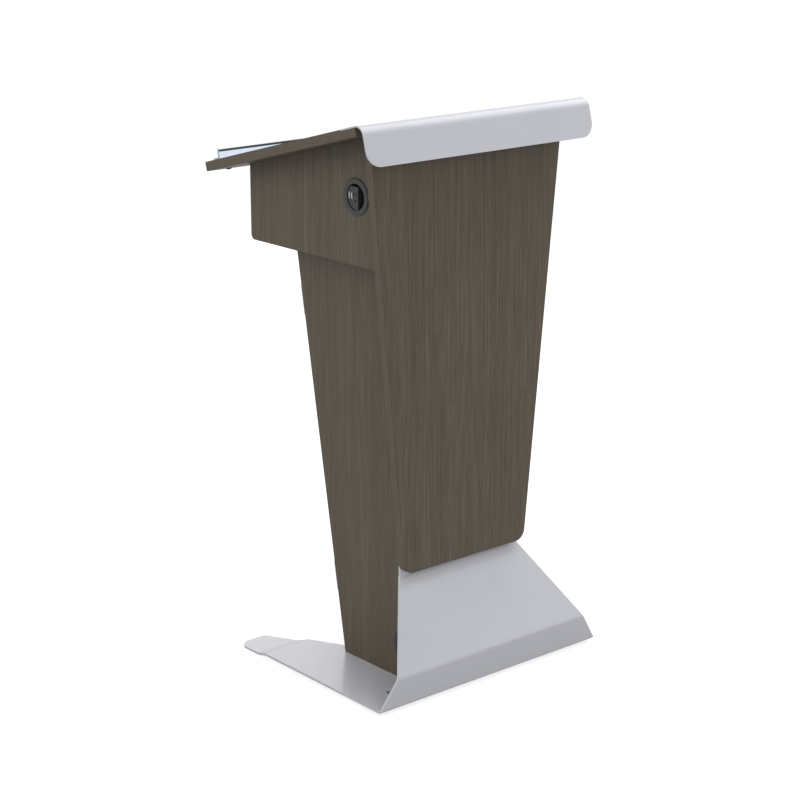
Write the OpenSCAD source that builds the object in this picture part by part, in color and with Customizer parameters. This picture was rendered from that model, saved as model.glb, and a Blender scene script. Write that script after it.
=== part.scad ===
// Presentation lectern: a laminated column and shelf box on a folded steel base,
// with a sloping desk, a folded steel cap and a clear paper stop.
// The audience is at -Y, the speaker at +Y. Inside the modules Y is measured from
// the front edge of the base and Z from the floor.

/* [Boards] */
// Thickness of every laminated board
board_t = 20; // [17:0.5:24]
// Gap left round the rear door
door_gap = 2; // [1.5:0.25:3]

/* [Steel base] */
// Width of the base along its front edge
base_w = 610; // [580:2:640]
// Width across the backs of the two legs
base_rear_w = 602; // [580:2:640]
// Depth from the front edge to the backs of the legs
base_depth = 490; // [470:2:520]
// Thickness of the base sheet
base_sheet = 5; // [4:0.5:6]
// Height of the floor plate's underside above the floor
foot_gap = 7; // [5:0.5:9]
// Height of the kick band's upper bend above the plate's underside
kick_h = 68; // [60:1:80]
// How far the kick band leans out at its upper bend
kick_out = 7.5; // [0:0.5:10]
// Width of the base at the kick band's upper bend
kick_w = 528; // [500:2:560]
// Lean of the upstand away from vertical
upstand_lean = 34.2; // [32:0.2:36]
// Width of the upstand's flange behind the front panel
flange_w = 330; // [328:1:334]
// Height of the flange above its bend
flange_h = 88; // [80:1:100]
// Distance from the front edge to the step down in each leg
step_y = 393; // [380:1:410]
// Length of the step down in each leg
step_len = 27; // [22:1:34]
// Width of the notch between the legs at its front end
notch_w = 264; // [240:2:280]
// Width of the notch between the legs at its mouth
notch_mouth_w = 462; // [440:2:480]
// Distance from the front edge to the notch's front end
notch_y = 297; // [294:1:310]
// Radius of a front foot
foot_r = 15; // [12:0.5:18]

/* [Column] */
// Width of the column
col_w = 326; // [322:1:328]
// Rear of the column at the floor plate
col_rear_y = 290; // [280:1:292]
// Rear of the column under the box
col_rear_top_y = 445; // [430:1:460]
// Front end of the column's foot, inside the folded base
toe_y = 24; // [20:1:30]
// Height of the loose shelf's underside
shelf_z = 468; // [452:4:500]
// Width of the rear door's pull between its posts
pull_len = 96; // [64:4:128]

/* [Box] */
// Width of the shelf box
box_w = 462; // [450:1:463]
// Height of the shelf box's underside
box_z = 897; // [880:1:910]
// Rear of the shelf box
box_rear_y = 510; // [495:1:520]
// Radius of the box sides' lower rear corner
box_corner_r = 12; // [6:1:18]

/* [Front panel] */
// Distance of the panel's front face from the base's front edge
panel_y = 85; // [80:0.5:90]
// Height of the panel's lower edge
panel_z = 249.5; // [246:0.5:254]
// Width of the panel along its lower edge
panel_w = 336.6; // [336:0.2:344]
// Width of the panel under the desk
panel_top_w = 517; // [510:1:524]
// Radius of the panel's lower corners
panel_corner_r = 25; // [15:1:35]

/* [Desk] */
// Width of the desk
desk_w = 604; // [580:2:620]
// Depth of the desk along its slope
desk_depth = 510; // [506:1:520]
// Slope of the desk
desk_tilt = 15; // [14:0.5:16]
// Distance of the desk's rear edge from the base's front edge
desk_rear_y = 570; // [566:1:576]
// Height of the desk's rear edge
desk_rear_z = 1060; // [1050:1:1070]
// Width of the paper stop
stop_w = 570; // [540:2:580]
// Height of the paper stop above the desk
stop_h = 22.6; // [18:0.2:28]
// Thickness of the paper stop
stop_t = 6; // [4:0.5:8]

/* [Cap] */
// Thickness of the cap's sheet
cap_sheet = 3; // [2:0.5:4]
// Length of the cap on top of the desk
cap_top = 68; // [66:1:80]
// Height of the cap's front flange
cap_drop = 84.5; // [80:0.5:96]
// How far the cap's sheet is let into the desk
cap_inset = 2.5; // [0.5:0.5:3]
// Outer radius of the cap's bend
cap_bend_r = 22; // [16:1:26]
// Radius of the flange's lower corners
cap_corner_r = 32; // [20:1:40]

/* [Power and cables] */
// Radius of the round hole for the power module and for the cable grommet
port_r = 30; // [28:0.5:32]
// Width of the rim round each port
port_rim = 8; // [6:0.5:9]
// Distance of the power module from the base's front edge
power_y = 159.5; // [155:0.5:165]
// Height of the power module
power_z = 1036; // [1020:1:1044]
// Distance of the cable grommet from the base's front edge
grommet_y = 87.5; // [84:0.5:92]
// Height of the cable grommet
grommet_z = 91; // [86:0.5:94]

/* [Hidden] */
$fn = 48;
cut = 1;              // how far a cutter runs past a face
fit = 0.1;            // radial clearance of a screw or dowel
run = 0.05;           // radial clearance of a turning pin
seat = 0.2;           // clearance of a piece that only rests on another
bend_step = 4;        // degrees in each step of the base sheet's bends

// Heights and places that follow from the sizes above
plate_top = foot_gap + base_sheet;
panel_back = panel_y + board_t;
bend_z = foot_gap + kick_h;
flange_z = bend_z + (panel_back + kick_out) / tan(upstand_lean);
flange_top = flange_z + flange_h;
col_in = col_w / 2 - board_t;
box_in = box_w / 2 - board_t;
lean = atan((col_rear_top_y - col_rear_y) / (box_z - plate_top));
floor_bend_r = 5.5;   // centreline radii of the base's bends
kick_bend_r = 10;
kick_turn = upstand_lean + atan(kick_out / kick_h);
kick_normal = (upstand_lean - atan(kick_out / kick_h)) / 2;
kick_outer_r = kick_bend_r + base_sheet / 2;
front_y = -kick_out + kick_outer_r * (cos(kick_normal) / cos(kick_turn / 2) - 1);
desk_edge_r = 2.5;    // radius of the desk board's eased edges
rear_y = desk_rear_y - desk_edge_r * (cos(desk_tilt) + sin(desk_tilt) - 1);
mid_y = (front_y + rear_y) / 2;
function under_desk(y) =
    desk_rear_z + (desk_rear_y - y) * tan(desk_tilt) - board_t / cos(desk_tilt);
function panel_half(z) =
    panel_w / 2 + (z - panel_z) * (panel_top_w - panel_w) / 2 / (under_desk(panel_y) - panel_z);

// Screws and dowels
wood_screw_r = 2;
wood_head_r = 4;
wood_head_t = 2.4;
bolt_r = 2.5;
dowel_r = 4;
bite = 13;            // how far a screw runs into a board

// Hardware of the rear door
hinge_len = 64;
hinge_leaf_w = 17;
hinge_leaf_t = 1.8;
knuckle_r = 3.4;
hinge_pin_r = 1.6;
knuckle_gap = 0.5;
hinge_x = -col_in + door_gap / 2;
hinge_places = [170, 770];
door_drop = 2 * col_in * sin(lean);   // the leaning door's free corner drops this far as it opens
rail_top = (board_t + door_drop + 10) / cos(lean);
door_low = rail_top + door_gap;
door_high = (box_z - door_gap - plate_top - board_t * sin(lean)) / cos(lean);
lock_inset = 31;      // from the column's inner face to the lock's axis
lock_x = col_in - lock_inset;
lock_s = 640;         // height of the lock along the door
pull_s = 545;         // height of the pull's middle along the door
lock_barrel_r = 9.5;
lock_plug_r = 6.5;
cam_reach = 24;
cam_w = 14;
cam_t = 3;
cam_y = -(board_t + 8);
catch_s = 820;

// Port hardware, measured inwards from the board's outer face
rim_t = 3;
wall = 2.8;
ledge = 2;
barrel_r = port_r - seat;
barrel_in = barrel_r - wall;
face_cut = -6;        // the faceplate's straight edge, beside the cable pass
face_top = -20;       // the faceplate's level upper edge
housing_len = 50;

wood = [0.36, 0.33, 0.29];
steel = [0.76, 0.77, 0.80];
zinc = [0.70, 0.70, 0.72];
black = [0.13, 0.13, 0.14];
glassy = [0.78, 0.88, 0.92, 0.5];

// ---------- helpers ----------

module lectern() {
    translate([0, -mid_y, 0]) children();
}

module both_sides() {
    children();
    mirror([1, 0, 0]) children();
}

// Y along the desk's slope, 0 at its rear edge and negative towards the audience; Z off its top face
module on_desk() {
    lectern() translate([0, desk_rear_y, desk_rear_z]) rotate([-desk_tilt, 0, 0]) children();
}

// Z up the column's leaning rear face; Y out of it
module on_rear() {
    lectern() translate([0, col_rear_y, plate_top]) rotate([-lean, 0, 0]) children();
}

// Local Z runs inwards from the box's left side, local X runs down
module at_power() {
    lectern() translate([-box_w / 2, power_y, power_z]) rotate([0, 90, 0]) children();
}

module at_grommet() {
    lectern() translate([-col_w / 2, grommet_y, grommet_z]) rotate([0, 90, 0]) children();
}

// A point of the rear face's own Y and Z, as a point of the lectern's Y and Z
function rear_point(y, z) = [col_rear_y + y * cos(lean) + z * sin(lean),
    plate_top - y * sin(lean) + z * cos(lean)];

// A flat shape drawn in Y and Z, given a thickness along X
module upright(x, t) {
    translate([x, 0, 0]) rotate([90, 0, 90]) linear_extrude(t) children();
}

// A flat shape drawn in X and Z, given a thickness towards -Y from y
module facing(y, t) {
    translate([0, y, 0]) rotate([90, 0, 0]) linear_extrude(t) children();
}

function unit(v) = v / norm(v);
function half_angle(a, p, b) = acos(unit(a - p) * unit(b - p)) / 2;
function arc_centre(a, p, b, r) =
    p + unit(unit(a - p) + unit(b - p)) * r / sin(half_angle(a, p, b));
function arc_touch(a, p, b, r) = p + unit(a - p) * r / tan(half_angle(a, p, b));
function ring(list, i) = list[(i + len(list)) % len(list)];

// A convex outline with a true arc of the given radius at each corner
module rounded(pts, radii) {
    n = len(pts);
    polygon([for (i = [0:n - 1], end = [0, 1])
        radii[i] == 0 ? pts[i]
        : end == 0 ? arc_touch(ring(pts, i - 1), pts[i], ring(pts, i + 1), radii[i])
        : arc_touch(ring(pts, i + 1), pts[i], ring(pts, i - 1), radii[i])]);
    for (i = [0:n - 1])
        if (radii[i] > 0)
            translate(arc_centre(ring(pts, i - 1), pts[i], ring(pts, i + 1), radii[i]))
                circle(radii[i]);
}

// Fills the hollow corner p between a and b with a fillet
module corner_fill(a, p, b, r) {
    difference() {
        polygon([arc_touch(a, p, b, r), p, arc_touch(b, p, a, r)]);
        translate(arc_centre(a, p, b, r)) circle(r);
    }
}

function right_of(v) = [v[1], -v[0]];
function side_step(u, v, d) = (right_of(u) + right_of(v)) * d / (1 + u * v);

// A path moved to its right by d, corner by corner
function moved(path, d) = [for (i = [0:len(path) - 1])
    let (u = i == 0 ? unit(path[1] - path[0]) : unit(path[i] - path[i - 1]),
         v = i == len(path) - 1 ? u : unit(path[i + 1] - path[i]))
    path[i] + side_step(u, v, d)];

function swung(v, w) = [v[0] * cos(w) - v[1] * sin(w), v[0] * sin(w) + v[1] * cos(w)];
function backwards(list) = [for (i = [len(list) - 1:-1:0]) list[i]];

// The line that runs at d to the right of a path whose corners are bent in fine steps
function bent_line(path, radii, d) = [for (i = [0:len(path) - 1])
    let (u = unit(i == 0 ? path[1] - path[0] : path[i] - path[i - 1]))
    each (i == 0 || i == len(path) - 1 ? [path[i] + right_of(u) * d]
        : let (v = unit(path[i + 1] - path[i]),
               side = -sign(cross(u, v)),
               turn = acos(u * v),
               steps = ceil(turn / bend_step),
               c = arc_centre(path[i - 1], path[i], path[i + 1], radii[i]),
               arm = unit(arc_touch(path[i - 1], path[i], path[i + 1], radii[i]) - c))
          [for (k = [0:steps])
              c + swung(arm, -side * turn * k / steps) * (radii[i] - side * d)])];

// The cross-section of a folded sheet, along the middle of its thickness
module folded(path, radii, t) {
    polygon(concat(bent_line(path, radii, t / 2), backwards(bent_line(path, radii, -t / 2))));
}

// A pan-head screw standing on z = 0, its shank running down
module screw(length, r = wood_screw_r, head_r = wood_head_r, head_t = wood_head_t) {
    translate([0, 0, -length]) cylinder(r = r, h = length);
    cylinder(r1 = head_r, r2 = head_r * 0.75, h = head_t);
}

module bore(length, r = wood_screw_r + fit) {
    translate([0, 0, -length - seat]) cylinder(r = r, h = length + seat + cut);
}

// ---------- places of the fasteners ----------

foot_x = 232;
foot_y = 64;
base_screw_x = 105;
base_screw_ys = [60, col_rear_y - 40];
flange_screw_x = 110;
flange_screw_zs = [flange_z + flange_h * 0.35, flange_top - 18];
bracket_leg = 34;
bracket_w = 30;
bracket_t = 2.5;
bracket_hole = 22;
bracket_zs = [400, 840];
box_bracket_z = (box_z + under_desk(panel_back)) / 2 + 60;
cleat = 20;
cleat_front = -440;
cleat_rear = -90;
cleat_up_ys = [-400, -130];
cleat_side_ys = [-320, -210];
stud_xs = [80, 180];
cap_front = -(desk_depth + cap_bend_r);
cap_end = cap_front + cap_top + fit;    // rear end of the rebate that takes the cap
stud_y = cap_front + cap_top - 6;
stop_y = -31;         // front face of the stop's blade, along the slope
stop_foot = 17;
stop_foot_t = 4.5;
stop_screw_x = stop_w / 2 - 28;
shelf_pin_r = 2.5;
shelf_pin_ys = [145, 300];
shelf_hole_steps = [-2, -1, 0, 1, 2];
shelf_hole_pitch = 32;
pin_grip = 10;

module at_feet() {
    both_sides() translate([foot_x, foot_y, 0]) children();
}

module at_base_screws() {
    for (x = [-base_screw_x, base_screw_x], y = base_screw_ys)
        translate([x, y, foot_gap]) mirror([0, 0, 1]) children();
}

module at_flange_screws() {
    for (x = [-flange_screw_x, flange_screw_x], z = flange_screw_zs)
        translate([x, panel_back + base_sheet, z]) rotate([-90, 0, 0]) children();
}

module at_brackets() {
    both_sides() {
        for (z = bracket_zs) translate([-col_in, panel_back, z]) children();
        translate([-box_in, panel_back, box_bracket_z]) children();
    }
}

module at_bracket_screws() {
    at_brackets() {
        translate([bracket_t, bracket_hole, 0]) rotate([0, 90, 0]) children();
        translate([bracket_hole, bracket_t, 0]) rotate([-90, 0, 0]) children();
    }
}

module at_cleat_screws_up() {
    both_sides() for (y = cleat_up_ys)
        translate([box_in - cleat / 2, y, -board_t - cleat]) mirror([0, 0, 1]) children();
}

module at_cleat_screws_side() {
    both_sides() for (y = cleat_side_ys)
        translate([box_in - cleat, y, -board_t - cleat / 2]) rotate([0, -90, 0]) children();
}

module at_studs() {
    both_sides() for (x = stud_xs) translate([x, stud_y, 0]) children();
}

module at_stop_screws() {
    for (x = [-stop_screw_x, 0, stop_screw_x])
        translate([x, stop_y + stop_t + stop_foot / 2, -board_t]) mirror([0, 0, 1]) children();
}

module at_dowels() {
    both_sides() {
        for (y = [170, 300, 430]) translate([box_in, y, box_z + board_t / 2])
            rotate([0, 90, 0]) children();
        for (y = [80, 220]) translate([col_in, y, plate_top + board_t / 2])
            rotate([0, 90, 0]) children();
        for (y = [170, 340]) translate([col_w / 2 - board_t / 2, y, box_z]) children();
        translate(concat([col_in], rear_point(-board_t / 2, rail_top - 20)))
            rotate([0, 90, 0]) children();
    }
}

module dowel_shape(grow = 0) {
    translate([0, 0, -12 - grow]) cylinder(r = dowel_r + grow, h = 24 + 2 * grow);
}

module at_shelf_holes(steps) {
    for (y = shelf_pin_ys, i = steps)
        translate([col_in, y, shelf_z - seat - shelf_pin_r + i * shelf_hole_pitch])
            rotate([0, 90, 0]) children();
}

module at_hinges() {
    for (s = hinge_places) translate([hinge_x, knuckle_r, s]) children();
}

module at_hinge_screws(side) {
    at_hinges() for (z = [-20, 20])
        translate([side * (knuckle_r + hinge_leaf_w) / 1.7, hinge_leaf_t - knuckle_r, z])
            rotate([-90, 0, 0]) children();
}

// Local Z runs out of the door, local Y runs down it
module at_lock() {
    translate([lock_x, 0, lock_s]) rotate([-90, 0, 0]) children();
}

module at_pull_screws() {
    for (z = [-pull_len / 2, pull_len / 2])
        translate([lock_x, -board_t, pull_s + z]) rotate([90, 0, 0]) children();
}

module at_strike_screws() {
    for (z = [-8, 8])
        translate([col_in - 2.2, -48, lock_s + z]) rotate([0, -90, 0]) children();
}

// ---------- steel base ----------

base_face = [
    [base_depth, 0], [step_y + step_len, 0], [step_y, foot_gap], [0, foot_gap],
    [-kick_out, bend_z], [panel_back, flange_z], [panel_back, flange_top]
];
base_radii = [0, 10, 10, floor_bend_r, kick_bend_r, kick_bend_r, 0];
module base_section() {
    folded(moved(base_face, base_sheet / 2), base_radii, base_sheet);
}

// Seen from above: the legs, the notch between them and the slightly tapering sides
module base_plan() {
    both_sides() rounded(
        [[0, -base_w], [base_w / 2, -base_w], [base_w / 2, 0], [base_rear_w / 2, base_depth],
         [notch_mouth_w / 2, base_depth], [notch_w / 2, notch_y], [0, notch_y]],
        [0, 0, 0, 26, 16, 0, 0]);
    both_sides() corner_fill([0, notch_y], [notch_w / 2, notch_y],
        [notch_mouth_w / 2, base_depth], 30);
}

// Seen from the front: full width at the floor plate, then narrowing up to the flange
module base_front_view() {
    both_sides() rounded(
        [[0, -cut], [base_w / 2 + cut, -cut], [base_w / 2 + cut, plate_top],
         [base_w / 2, plate_top], [kick_w / 2, bend_z], [flange_w / 2, flange_z],
         [flange_w / 2, flange_top], [0, flange_top]],
        [0, 0, 0, 0, 0, 0, 15, 0]);
}

module steel_base() {
    color(steel) lectern() difference() {
        intersection() {
            upright(-base_w, 2 * base_w) base_section();
            translate([0, 0, -cut]) linear_extrude(base_w) base_plan();
            facing(base_w, 2 * base_w) base_front_view();
        }
        at_feet() translate([0, 0, foot_gap - cut])
            cylinder(r = bolt_r + fit, h = base_sheet + 2 * cut);
        at_base_screws() {
            translate([0, 0, -base_sheet - cut])
                cylinder(r = wood_screw_r + fit, h = base_sheet + 2 * cut);
            translate([0, 0, -wood_head_t])
                cylinder(r1 = wood_screw_r + fit, r2 = wood_head_r + fit, h = wood_head_t + 0.01);
        }
        at_flange_screws() bore(base_sheet + cut);
    }
}

module front_feet() {
    color(black) lectern() at_feet() difference() {
        union() {
            cylinder(r1 = foot_r - 1.5, r2 = foot_r, h = 1.5);
            translate([0, 0, 1.5]) cylinder(r = foot_r, h = foot_gap - 1.5);
        }
        translate([0, 0, 2]) cylinder(r = bolt_r + fit, h = foot_gap);
    }
}

module foot_screws() {
    color(zinc) lectern() at_feet() translate([0, 0, plate_top])
        screw(plate_top - 2.5, bolt_r, 6, 2.2);
}

module base_screws() {
    color(zinc) lectern() at_base_screws() {
        translate([0, 0, -wood_head_t])
            cylinder(r1 = wood_screw_r, r2 = wood_head_r, h = wood_head_t);
        translate([0, 0, -base_sheet - bite])
            cylinder(r = wood_screw_r, h = base_sheet + bite - wood_head_t);
    }
}

// ---------- column ----------

sheet_clear = (base_sheet + 0.5) / cos(upstand_lean);
function behind_upstand(z) = sheet_clear - kick_out + (z - bend_z) * tan(upstand_lean);
function under_upstand(y) = bend_z + (y + kick_out - sheet_clear) / tan(upstand_lean);
flange_back = panel_back + base_sheet + 0.5;

module column_outline() {
    polygon([
        [col_rear_y, plate_top], [col_rear_top_y, box_z], [panel_back, box_z],
        [panel_back, flange_top + 0.5], [flange_back, flange_top + 0.5],
        [flange_back, under_upstand(flange_back)], [toe_y, under_upstand(toe_y)],
        [toe_y, plate_top]
    ]);
}

module column_side_blank() {
    difference() {
        upright(col_in, board_t) column_outline();
        at_dowels() dowel_shape(fit);
        at_bracket_screws() bore(bite + bracket_t);
        at_shelf_holes(shelf_hole_steps) translate([0, 0, -cut])
            cylinder(r = shelf_pin_r + fit, h = pin_grip + cut + seat);
    }
}

module column_left_side() {
    color(wood) difference() {
        lectern() mirror([1, 0, 0]) column_side_blank();
        at_grommet() translate([0, 0, -cut]) cylinder(r = port_r, h = board_t + 2 * cut);
        on_rear() at_hinge_screws(-1) bore(bite);
    }
}

module column_right_side() {
    color(wood) difference() {
        lectern() column_side_blank();
        on_rear() at_strike_screws() bore(bite);
    }
}

module column_floor() {
    depth = col_rear_y - door_gap - toe_y;
    color(wood) lectern() difference() {
        translate([-col_in, toe_y, plate_top]) cube([2 * col_in, depth, board_t]);
        at_dowels() dowel_shape(fit);
        at_base_screws() bore(base_sheet + bite);
    }
}

// The fixed rail under the rear door, cut level where it stands on the floor board
module kick_rail() {
    color(wood) lectern() difference() {
        upright(-col_in, 2 * col_in) intersection() {
            polygon([rear_point(-board_t, -board_t), rear_point(0, -board_t),
                rear_point(0, rail_top), rear_point(-board_t, rail_top)]);
            translate([0, plate_top + board_t]) square([base_depth, rail_top]);
        }
        at_dowels() dowel_shape(fit);
    }
}

module loose_shelf() {
    inner = (col_rear_top_y - col_rear_y) * (shelf_z - plate_top) / (box_z - plate_top)
        + col_rear_y - board_t / cos(lean);
    front = panel_back + 2;
    color(wood) lectern() translate([-col_in + 1, front, shelf_z])
        cube([2 * col_in - 2, inner - 8 - front, board_t]);
}

module shelf_pins() {
    color(zinc) lectern() both_sides() at_shelf_holes([0]) {
        translate([0, 0, seat]) cylinder(r = shelf_pin_r, h = pin_grip - seat);
        translate([0, 0, -0.8]) cylinder(r = shelf_pin_r + 1, h = 0.8);
        translate([0, 0, -9]) cylinder(r = shelf_pin_r, h = 9 + seat);
    }
}

// ---------- front panel ----------

module panel_section() {
    polygon([
        [panel_y, panel_z], [panel_back, panel_z],
        [panel_back, under_desk(panel_back)], [panel_y, under_desk(panel_y)]
    ]);
}

module front_panel() {
    top = under_desk(panel_y) + 10;
    color(wood) lectern() difference() {
        intersection() {
            upright(-panel_top_w, 2 * panel_top_w) panel_section();
            facing(panel_back + cut, board_t + 2 * cut) rounded(
                [[-panel_w / 2, panel_z], [panel_w / 2, panel_z],
                 [panel_half(top), top], [-panel_half(top), top]],
                [panel_corner_r, panel_corner_r, 0, 0]);
        }
        at_flange_screws() bore(base_sheet + bite);
        at_bracket_screws() bore(bite + bracket_t);
    }
}

module flange_screws() {
    color(zinc) lectern() at_flange_screws() screw(base_sheet + bite);
}

module angle_brackets() {
    color(zinc) lectern() difference() {
        at_brackets() translate([0, 0, -bracket_w / 2]) {
            cube([bracket_t, bracket_leg, bracket_w]);
            cube([bracket_leg, bracket_t, bracket_w]);
        }
        at_bracket_screws() bore(bracket_t + cut);
    }
}

module bracket_screws() {
    color(zinc) lectern() at_bracket_screws() screw(bite);
}

// ---------- shelf box ----------

module box_side_blank() {
    difference() {
        upright(box_in, board_t) rounded(
            [[panel_back, box_z], [box_rear_y, box_z],
             [box_rear_y, under_desk(box_rear_y)], [panel_back, under_desk(panel_back)]],
            [0, box_corner_r, 0, 0]);
        at_dowels() dowel_shape(fit);
        at_bracket_screws() bore(bite + bracket_t);
    }
}

module box_left_side() {
    color(wood) difference() {
        lectern() mirror([1, 0, 0]) box_side_blank();
        at_power() translate([0, 0, -cut]) cylinder(r = port_r, h = board_t + 2 * cut);
        on_desk() at_cleat_screws_side() bore(cleat + bite);
    }
}

module box_right_side() {
    color(wood) difference() {
        lectern() box_side_blank();
        on_desk() at_cleat_screws_side() bore(cleat + bite);
    }
}

module box_floor() {
    color(wood) lectern() difference() {
        translate([-box_in, panel_back, box_z])
            cube([2 * box_in, box_rear_y - 4 - panel_back, board_t]);
        at_dowels() dowel_shape(fit);
    }
}

module dowels() {
    color([0.80, 0.68, 0.48]) lectern() at_dowels() dowel_shape();
}

// ---------- desk, cleats, stop ----------

module desk_top() {
    color(wood) on_desk() difference() {
        upright(-desk_w / 2, desk_w) rounded(
            [[-desk_depth, -board_t], [0, -board_t], [0, 0], [cap_end, 0],
                [cap_end, -cap_inset], [-desk_depth, -cap_inset]],
            [desk_edge_r, desk_edge_r, desk_edge_r, 0, 0, desk_edge_r]);
        at_cleat_screws_up() bore(cleat + bite);
        at_studs() translate([0, 0, -board_t - cut])
            cylinder(r = bolt_r + 0.3, h = board_t + 2 * cut);
        at_stop_screws() translate([0, 0, -board_t - cut])
            cylinder(r = bolt_r + fit, h = board_t + 2 * cut);
    }
}

module desk_cleats() {
    color(wood) on_desk() difference() {
        both_sides() translate([box_in - cleat, cleat_front, -board_t - cleat])
            cube([cleat, cleat_rear - cleat_front, cleat]);
        at_cleat_screws_up() bore(cleat);
        at_cleat_screws_side() bore(cleat);
    }
}

module cleat_screws() {
    color(zinc) on_desk() {
        at_cleat_screws_up() screw(cleat + bite);
        at_cleat_screws_side() screw(cleat + bite);
    }
}

module paper_stop() {
    color(glassy) on_desk() difference() {
        upright(-stop_w / 2, stop_w) {
            translate([stop_y, 0]) square([stop_t, stop_h]);
            translate([stop_y, 0]) square([stop_foot + stop_t, stop_foot_t]);
        }
        at_stop_screws() bore(board_t + 3, bolt_r + fit);
    }
}

module stop_screws() {
    color(black) on_desk() at_stop_screws() screw(board_t + 3, bolt_r, 5.5, 3);
}

// ---------- cap ----------

module cap_corner() {
    difference() {
        translate([0, -cut]) square([cap_corner_r + cut, cap_corner_r + cut]);
        translate([0, cap_corner_r]) circle(cap_corner_r);
    }
}

// The cap's cross-section: what lies between its outer face and its inner face
module cap_section() {
    top = cap_sheet - cap_inset;
    low = top - cap_drop;
    end = cap_front + cap_top;
    inner = cap_front + cap_sheet;
    difference() {
        rounded([[cap_front, low], [cap_front, top], [end, top], [end, low]],
            [0, cap_bend_r, 0, 0]);
        rounded([[inner, low - cut], [inner, -cap_inset], [end + cut, -cap_inset],
            [end + cut, low - cut]], [0, cap_bend_r - cap_sheet, 0, 0]);
    }
}

module metal_cap() {
    color(steel) on_desk() {
        difference() {
            upright(-desk_w / 2, desk_w) cap_section();
            both_sides()
                translate([desk_w / 2 - cap_corner_r, 0, cap_sheet - cap_inset - cap_drop])
                    facing(cap_front + cap_sheet + cut, cap_sheet + 2 * cut) cap_corner();
        }
        at_studs() translate([0, 0, -board_t - 7])
            cylinder(r = bolt_r, h = board_t + 7 + 1 - cap_inset);
    }
}

module cap_nuts() {
    color(zinc) on_desk() at_studs() translate([0, 0, -board_t - 4.5]) difference() {
        cylinder(r = 4.4, h = 4.5, $fn = 6);
        translate([0, 0, -cut]) cylinder(r = bolt_r + run, h = 4.5 + 2 * cut);
    }
}

// ---------- power module ----------

// The part of a disc that carries sockets: level on top and straight beside the cable pass
module socket_side(r) {
    intersection() {
        circle(r);
        translate([face_top, face_cut]) square([2 * r, 2 * r]);
    }
}

usb_ys = [21, 13.5];
usb_size = [12.8, 5.2];
slot_ys = [6.5, -2];
slot_size = [7.4, 2.2];
ground_x = 8;
ground_r = 2.4;
usb_deep = 12;

module at_usb() {
    for (y = usb_ys) translate([-1, y, 0]) children();
}

module at_slots() {
    for (y = slot_ys) translate([-4.5, y, 0]) children();
}

module power_bezel() {
    color(black) at_power() rotate_extrude($fn = 96) polygon([
        [barrel_in, -rim_t], [port_r + port_rim - 1.6, -rim_t], [port_r + port_rim, -1.2],
        [port_r + port_rim, 0], [barrel_r, 0], [barrel_r, board_t + 12], [barrel_in, board_t + 12],
        [barrel_in, 6], [barrel_in - ledge, 6], [barrel_in - ledge, 4], [barrel_in, 4]
    ]);
}

module power_faceplate() {
    color(black) at_power() translate([0, 0, -1]) difference() {
        linear_extrude(5) socket_side(barrel_in - fit);
        at_usb() translate([0, 0, -cut])
            linear_extrude(5 + 2 * cut) square(usb_size + [0.4, 0.4], center = true);
        at_slots() translate([0, 0, -cut])
            linear_extrude(5 + 2 * cut) square(slot_size, center = true);
        translate([ground_x, mean_slot(), -cut]) cylinder(r = ground_r, h = 5 + 2 * cut);
    }
}

function mean_slot() = (slot_ys[0] + slot_ys[1]) / 2;

module power_housing() {
    color(black) at_power() translate([0, 0, 4]) difference() {
        linear_extrude(housing_len) socket_side(barrel_in - ledge - seat);
        at_usb() translate([0, 0, -cut])
            linear_extrude(usb_deep + cut) square(usb_size + [0.4, 0.4], center = true);
        at_slots() translate([0, 0, -cut])
            linear_extrude(10 + cut) square(slot_size, center = true);
        translate([ground_x, mean_slot(), -cut]) cylinder(r = ground_r, h = 10 + cut);
    }
}

module usb_ports() {
    color(zinc) at_power() at_usb() difference() {
        translate([0, 0, -0.6]) linear_extrude(usb_deep + 4.6) square(usb_size, center = true);
        translate([0, 0, -0.6 - cut]) linear_extrude(usb_deep + 3 + cut) difference() {
            square(usb_size - [0.8, 0.8], center = true);
            translate([0, 0.9]) square([10.4, 1.6], center = true);
        }
    }
}

module outlet_contacts() {
    color([0.78, 0.62, 0.30]) at_power() {
        at_slots() translate([0, 0, 8])
            linear_extrude(6) square(slot_size - [1, 0.6], center = true);
        translate([ground_x, mean_slot(), 8]) cylinder(r = ground_r - 0.4, h = 6);
    }
}

module power_inlet() {
    color(black) at_power() translate([0, 9, 4 + housing_len]) difference() {
        translate([-14, -10, 0]) cube([28, 20, 14]);
        translate([-12, -8, 2]) cube([24, 16, 12 + cut]);
    }
}

module power_lock_ring() {
    color(black) at_power() translate([0, 0, board_t]) difference() {
        cylinder(r = port_r + 6, h = 7, $fn = 96);
        translate([0, 0, -cut]) cylinder(r = barrel_r + fit, h = 7 + 2 * cut, $fn = 96);
    }
}

// ---------- cable grommet ----------

lid_seat = 3;
lid_r = barrel_in + 0.6;

module cable_grommet() {
    color(black) at_grommet() rotate_extrude($fn = 96) polygon([
        [lid_r + 0.1, -2.5], [port_r + port_rim - 1.4, -2.5], [port_r + port_rim, -1],
        [port_r + port_rim, 0], [barrel_r, 0], [barrel_r, board_t - 2],
        [barrel_in - ledge, board_t - 2], [barrel_in - ledge, lid_seat], [lid_r + 0.1, lid_seat]
    ]);
}

// A turning lid with one notch that lets a cable through
module grommet_cap() {
    color(black) at_grommet() difference() {
        translate([0, 0, -1.5]) cylinder(r = lid_r, h = lid_seat + 1.5 - 0.3, $fn = 96);
        translate([10, -8, -1.5 - cut]) cube([2 * lid_r, 16, lid_seat + 2 + cut]);
    }
}

// ---------- rear door ----------

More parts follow.
